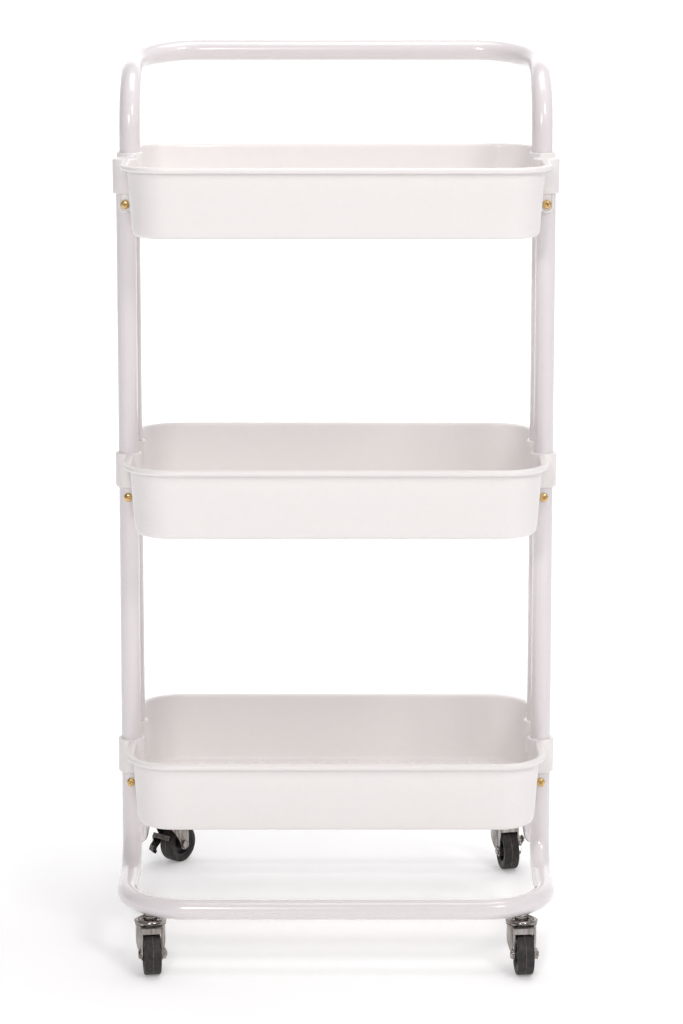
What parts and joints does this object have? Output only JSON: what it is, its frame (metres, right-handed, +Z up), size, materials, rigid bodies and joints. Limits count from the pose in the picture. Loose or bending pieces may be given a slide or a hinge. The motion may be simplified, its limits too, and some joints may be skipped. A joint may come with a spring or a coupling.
{
  "type": "utility cart",
  "caption": "Rolling utility cart with a bent tube frame, push handle, open trays on sleeved uprights, and swivel casters with brakes on the rear pair.",
  "frame": {"origin": "on the floor under the middle of the frame", "axes": "+Z up; +X across the width, to the right of a person facing the front; -Y is the front, and the handle bar is at +Y"},
  "size_m": [0.436, 0.3834, 0.8805],
  "materials": {
    "frame_coating": "glossy powder coat, cool white",
    "tray_coating": "satin powder coat, warm white",
    "screw_plating": "yellow zinc, semi-gloss",
    "zinc_plating": "bright zinc plate",
    "bearing_steel": "polished",
    "tyre_rubber": "moulded rubber, satin",
    "hub_plastic": "moulded, satin"
  },
  "bodies": {
    "cart_frame": {"bottom_tray": "tray_coating", "bottom_tray_collars": "tray_coating", "bottom_tray_screws": "screw_plating", "caster_inserts": "zinc_plating", "caster_nuts": "zinc_plating", "caster_studs": "zinc_plating", "caster_top_races": "zinc_plating", "front_frame_tube": "frame_coating", "handle_tube": "frame_coating", "locking_tabs": "tray_coating", "middle_tray": "tray_coating", "middle_tray_collars": "tray_coating", "middle_tray_screws": "screw_plating", "rear_frame_tube": "frame_coating", "top_tray": "tray_coating", "top_tray_collars": "tray_coating", "top_tray_screws": "screw_plating", "upright_end_caps": "tray_coating"},
    "front_left_swivel": {"front_left_axle_bolt": "zinc_plating", "front_left_axle_nut": "zinc_plating", "front_left_balls": "bearing_steel", "front_left_fork": "zinc_plating"},
    "front_left_wheel": {"front_left_hub": "hub_plastic", "front_left_tyre": "tyre_rubber"},
    "front_right_swivel": {"front_right_axle_bolt": "zinc_plating", "front_right_axle_nut": "zinc_plating", "front_right_balls": "bearing_steel", "front_right_fork": "zinc_plating"},
    "front_right_wheel": {"front_right_hub": "hub_plastic", "front_right_tyre": "tyre_rubber"},
    "rear_left_swivel": {"rear_left_axle_bolt": "zinc_plating", "rear_left_axle_nut": "zinc_plating", "rear_left_balls": "bearing_steel", "rear_left_brake_pin": "zinc_plating", "rear_left_fork": "zinc_plating"},
    "rear_left_wheel": {"rear_left_hub": "hub_plastic", "rear_left_tyre": "tyre_rubber"},
    "rear_left_brake": {"rear_left_brake_lever": "zinc_plating"},
    "rear_right_swivel": {"rear_right_axle_bolt": "zinc_plating", "rear_right_axle_nut": "zinc_plating", "rear_right_balls": "bearing_steel", "rear_right_brake_pin": "zinc_plating", "rear_right_fork": "zinc_plating"},
    "rear_right_wheel": {"rear_right_hub": "hub_plastic", "rear_right_tyre": "tyre_rubber"},
    "rear_right_brake": {"rear_right_brake_lever": "zinc_plating"}
  },
  "joints": [
    {"name": "front_left_swivel", "type": "hinge", "parent": "cart_frame", "child": "front_left_swivel", "pos_m": [-0.18, -0.158, 0.047], "axis": [0, 0, 1], "continuous": true},
    {"name": "front_left_roll", "type": "hinge", "parent": "front_left_swivel", "child": "front_left_wheel", "pos_m": [-0.17786, -0.17325, 0.02], "axis": [0.9903, 0.1392, 0], "continuous": true},
    {"name": "front_right_swivel", "type": "hinge", "parent": "cart_frame", "child": "front_right_swivel", "pos_m": [0.18, -0.158, 0.047], "axis": [0, 0, 1], "continuous": true},
    {"name": "front_right_roll", "type": "hinge", "parent": "front_right_swivel", "child": "front_right_wheel", "pos_m": [0.18134, -0.17334, 0.02], "axis": [0.9962, 0.0872, 0], "continuous": true},
    {"name": "rear_left_swivel", "type": "hinge", "parent": "cart_frame", "child": "rear_left_swivel", "pos_m": [-0.18, 0.158, 0.047], "axis": [0, 0, 1], "continuous": true},
    {"name": "rear_left_roll", "type": "hinge", "parent": "rear_left_swivel", "child": "rear_left_wheel", "pos_m": [-0.1701, 0.1698, 0.02], "axis": [-0.766, 0.6428, 0], "continuous": true},
    {"name": "rear_left_brake", "type": "hinge", "parent": "rear_left_swivel", "child": "rear_left_brake", "pos_m": [-0.18381, 0.17882, 0.031], "axis": [0.766, -0.6428, 0], "range_deg": [0, 10]},
    {"name": "rear_right_swivel", "type": "hinge", "parent": "cart_frame", "child": "rear_right_swivel", "pos_m": [0.18, 0.158, 0.047], "axis": [0, 0, 1], "continuous": true},
    {"name": "rear_right_roll", "type": "hinge", "parent": "rear_right_swivel", "child": "rear_right_wheel", "pos_m": [0.1832, 0.14294, 0.02], "axis": [0.9781, 0.2079, 0], "continuous": true},
    {"name": "rear_right_brake", "type": "hinge", "parent": "rear_right_swivel", "child": "rear_right_brake", "pos_m": [0.19875, 0.14818, 0.031], "axis": [-0.9781, -0.2079, 0], "range_deg": [0, 10]}
  ]
}
